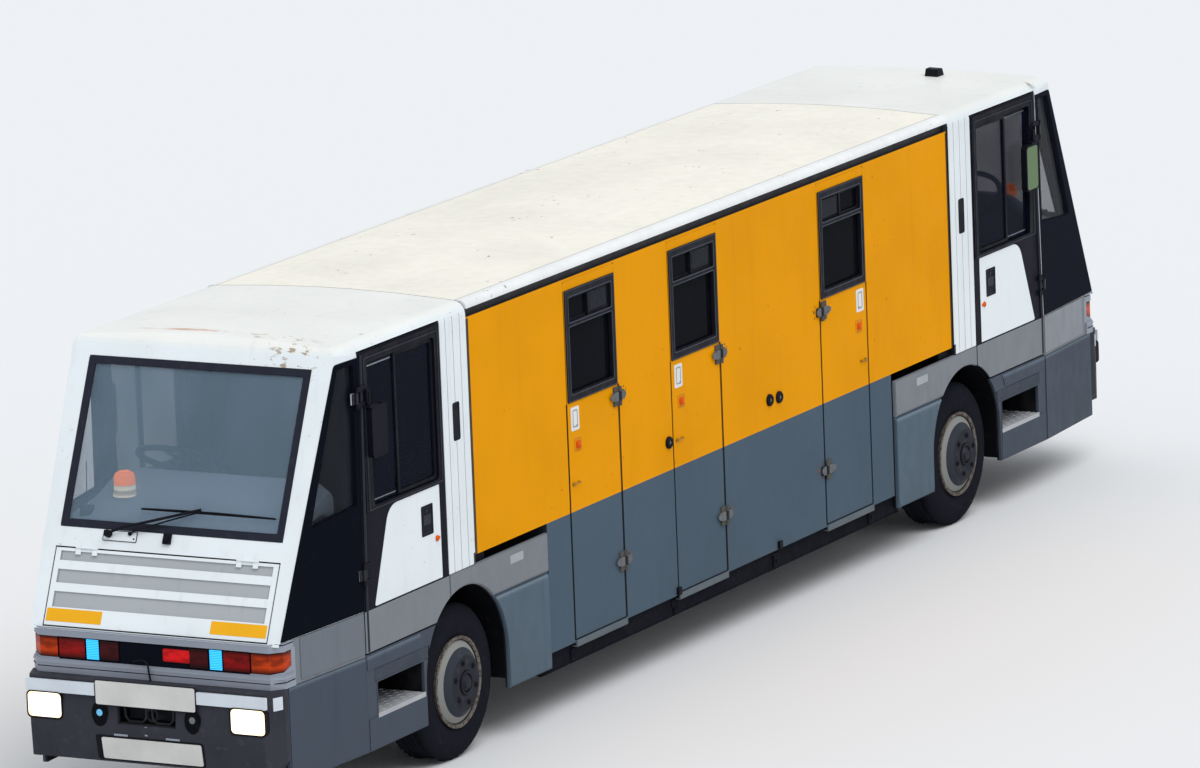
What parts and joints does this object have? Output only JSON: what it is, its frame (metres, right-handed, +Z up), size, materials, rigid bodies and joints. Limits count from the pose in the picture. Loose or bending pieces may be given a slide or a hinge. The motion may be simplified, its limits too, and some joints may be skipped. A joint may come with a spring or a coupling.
{
  "type": "double-ended service tunnel transport vehicle",
  "caption": "Narrow double-ended road vehicle: a cab with sloping nose at each end, a crew pod with side doors between them, low side rails and single steered wheels.",
  "frame": {"origin": "on the ground under the middle of the vehicle", "axes": "+X towards the front cab, +Y to the left of someone driving from it, +Z up"},
  "size_m": [8.779, 1.46, 2.2055],
  "materials": {
    "frame_black": "satin",
    "engine_grey": "matte",
    "steel_dark": "matte",
    "rim_paint": "satin",
    "tyre": "matte",
    "cab_white": "gloss",
    "skirt_silver": "satin",
    "bumper_plastic": "matte",
    "trim_silver": "matte",
    "lens_red": "gloss",
    "glass": "clear",
    "black_plastic": "matte",
    "dash_blue": "matte",
    "seat_fabric": "matte",
    "door_black": "gloss",
    "pod_yellow": "gloss",
    "roof_cream": "satin"
  },
  "bodies": {
    "body": {"chassis": "frame_black", "chassis_front": "frame_black", "chassis_rear": "frame_black", "engine_block": "engine_grey", "axles": "steel_dark", "cab_shell_front": "cab_white", "skirts_front": "skirt_silver", "bumper_front": "bumper_plastic", "cab_shell_rear": "cab_white", "skirts_rear": "skirt_silver", "bumper_rear": "bumper_plastic", "lamp_housings": "trim_silver", "lamp_lenses": "lens_red", "cab_glass": "glass", "roof_box": "black_plastic", "wipers": "black_plastic", "dashboards": "dash_blue", "steering_wheels": "black_plastic", "cab_seats": "seat_fabric", "pod_sides": "pod_yellow", "pod_floor": "cab_white", "pod_hinges": "steel_dark", "pod_roof": "roof_cream", "pod_benches": "seat_fabric"},
    "knuckle_front_left": {"knuckle_front_left": "steel_dark"},
    "wheel_front_left": {"rim_front_left": "rim_paint", "tyre_front_left": "tyre"},
    "knuckle_front_right": {"knuckle_front_right": "steel_dark"},
    "wheel_front_right": {"rim_front_right": "rim_paint", "tyre_front_right": "tyre"},
    "knuckle_rear_left": {"knuckle_rear_left": "steel_dark"},
    "wheel_rear_left": {"rim_rear_left": "rim_paint", "tyre_rear_left": "tyre"},
    "knuckle_rear_right": {"knuckle_rear_right": "steel_dark"},
    "wheel_rear_right": {"rim_rear_right": "rim_paint", "tyre_rear_right": "tyre"},
    "cab_door_front_left": {"cab_door_front_left": "door_black", "cab_pane_front_left": "glass"},
    "cab_door_front_right": {"cab_door_front_right": "door_black", "cab_pane_front_right": "glass"},
    "cab_door_rear_left": {"cab_door_rear_left": "door_black", "cab_pane_rear_left": "glass"},
    "cab_door_rear_right": {"cab_door_rear_right": "door_black", "cab_pane_rear_right": "glass"},
    "pod_door_left_1": {"pod_door_left_1": "pod_yellow", "pod_pane_left_1": "glass"},
    "pod_door_left_2": {"pod_door_left_2": "pod_yellow", "pod_pane_left_2": "glass"},
    "pod_door_left_3": {"pod_door_left_3": "pod_yellow", "pod_pane_left_3": "glass"},
    "pod_door_right_1": {"pod_door_right_1": "pod_yellow", "pod_pane_right_1": "glass"},
    "pod_door_right_2": {"pod_door_right_2": "pod_yellow", "pod_pane_right_2": "glass"},
    "pod_door_right_3": {"pod_door_right_3": "pod_yellow", "pod_pane_right_3": "glass"},
    "flap_front": {"flap_front": "trim_silver"},
    "flap_rear": {"flap_rear": "trim_silver"}
  },
  "joints": [
    {"name": "steer_front_left", "type": "hinge", "parent": "body", "child": "knuckle_front_left", "pos_m": [2.65, 0.504, 0.368], "axis": [0, 0, 1], "range_deg": [-15, 15]},
    {"name": "spin_front_left", "type": "hinge", "parent": "knuckle_front_left", "child": "wheel_front_left", "pos_m": [2.65, 0.526, 0.368], "axis": [0, 1, 0], "continuous": true},
    {"name": "steer_front_right", "type": "hinge", "parent": "body", "child": "knuckle_front_right", "pos_m": [2.65, -0.504, 0.368], "axis": [0, 0, 1], "range_deg": [-15, 15]},
    {"name": "spin_front_right", "type": "hinge", "parent": "knuckle_front_right", "child": "wheel_front_right", "pos_m": [2.65, -0.526, 0.368], "axis": [0, 1, 0], "continuous": true},
    {"name": "steer_rear_left", "type": "hinge", "parent": "body", "child": "knuckle_rear_left", "pos_m": [-2.65, 0.504, 0.368], "axis": [0, 0, 1], "range_deg": [-15, 15]},
    {"name": "spin_rear_left", "type": "hinge", "parent": "knuckle_rear_left", "child": "wheel_rear_left", "pos_m": [-2.65, 0.526, 0.368], "axis": [0, 1, 0], "continuous": true},
    {"name": "steer_rear_right", "type": "hinge", "parent": "body", "child": "knuckle_rear_right", "pos_m": [-2.65, -0.504, 0.368], "axis": [0, 0, 1], "range_deg": [-15, 15]},
    {"name": "spin_rear_right", "type": "hinge", "parent": "knuckle_rear_right", "child": "wheel_rear_right", "pos_m": [-2.65, -0.526, 0.368], "axis": [0, 1, 0], "continuous": true},
    {"name": "open_cab_door_front_left", "type": "hinge", "parent": "body", "child": "cab_door_front_left", "pos_m": [3.5865, 0.701, 1.5], "axis": [0, 0, -1], "range_deg": [0, 70]},
    {"name": "open_cab_door_front_right", "type": "hinge", "parent": "body", "child": "cab_door_front_right", "pos_m": [3.5865, -0.701, 1.5], "axis": [0, 0, 1], "range_deg": [0, 70]},
    {"name": "open_cab_door_rear_left", "type": "hinge", "parent": "body", "child": "cab_door_rear_left", "pos_m": [-3.5865, 0.701, 1.5], "axis": [0, 0, 1], "range_deg": [0, 70]},
    {"name": "open_cab_door_rear_right", "type": "hinge", "parent": "body", "child": "cab_door_rear_right", "pos_m": [-3.5865, -0.701, 1.5], "axis": [0, 0, -1], "range_deg": [0, 70]},
    {"name": "open_pod_door_left_1", "type": "hinge", "parent": "body", "child": "pod_door_left_1", "pos_m": [1.0715, 0.694, 1], "axis": [0, 0, 1], "range_deg": [0, 100]},
    {"name": "open_pod_door_left_2", "type": "hinge", "parent": "body", "child": "pod_door_left_2", "pos_m": [0.0195, 0.694, 1], "axis": [0, 0, 1], "range_deg": [0, 100]},
    {"name": "open_pod_door_left_3", "type": "hinge", "parent": "body", "child": "pod_door_left_3", "pos_m": [-1.0685, 0.694, 1], "axis": [0, 0, -1], "range_deg": [0, 100]},
    {"name": "open_pod_door_right_1", "type": "hinge", "parent": "body", "child": "pod_door_right_1", "pos_m": [-1.0715, -0.694, 1], "axis": [0, 0, 1], "range_deg": [0, 100]},
    {"name": "open_pod_door_right_2", "type": "hinge", "parent": "body", "child": "pod_door_right_2", "pos_m": [-0.0195, -0.694, 1], "axis": [0, 0, 1], "range_deg": [0, 100]},
    {"name": "open_pod_door_right_3", "type": "hinge", "parent": "body", "child": "pod_door_right_3", "pos_m": [1.0685, -0.694, 1], "axis": [0, 0, -1], "range_deg": [0, 100]},
    {"name": "open_flap_front", "type": "hinge", "parent": "body", "child": "flap_front", "pos_m": [4.13827, 0, 1.24521], "axis": [0, -1, 0], "range_deg": [0, 70]},
    {"name": "open_flap_rear", "type": "hinge", "parent": "body", "child": "flap_rear", "pos_m": [-4.13827, 0, 1.24521], "axis": [0, 1, 0], "range_deg": [0, 70]}
  ],
  "couplings": [
    {"joint": "steer_front_right", "follows": "steer_front_left", "ratio": 1},
    {"joint": "steer_rear_right", "follows": "steer_rear_left", "ratio": 1}
  ]
}
